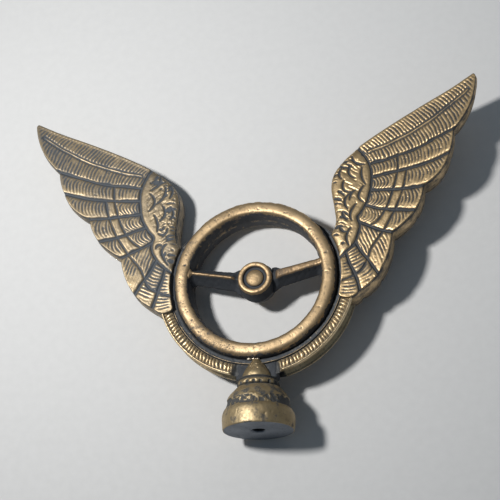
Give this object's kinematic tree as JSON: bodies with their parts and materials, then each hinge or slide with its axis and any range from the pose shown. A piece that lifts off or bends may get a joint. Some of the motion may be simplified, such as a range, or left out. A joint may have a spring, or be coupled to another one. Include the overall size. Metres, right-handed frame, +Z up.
{
  "type": "hood ornament",
  "caption": "Upright hood ornament: a spoked steering wheel in a ribbed cradle between feathered wings, on a round bell base with a threaded mounting hole.",
  "frame": {"origin": "centre of the flat underside of the bell base", "axes": "+X to the right wing tip as seen from the front, +Z up, the front faces -Y"},
  "size_m": [0.187, 0.0286, 0.1373],
  "materials": {
    "aged_brass": "worn cast brass, polished high spots",
    "wing_brass": "worn cast brass with dark patina in the grooves",
    "patinated_brass": "cast brass, dark patina in the recesses",
    "plain_steel": "turned",
    "soft_solder": "rough solder"
  },
  "bodies": {
    "root": {"bell_base": "aged_brass", "stem_collar": "aged_brass", "tie_stud": "plain_steel", "ribbed_cradle": "patinated_brass", "front_spur": "aged_brass", "rear_spur": "aged_brass", "left_wing": "wing_brass", "right_wing": "wing_brass", "wing_dowels": "plain_steel", "wheel_rim": "aged_brass", "wheel_spider": "patinated_brass", "horn_button": "aged_brass", "rear_button": "aged_brass", "rim_pin": "plain_steel", "solder_fillets": "soft_solder"}
  },
  "joints": []
}
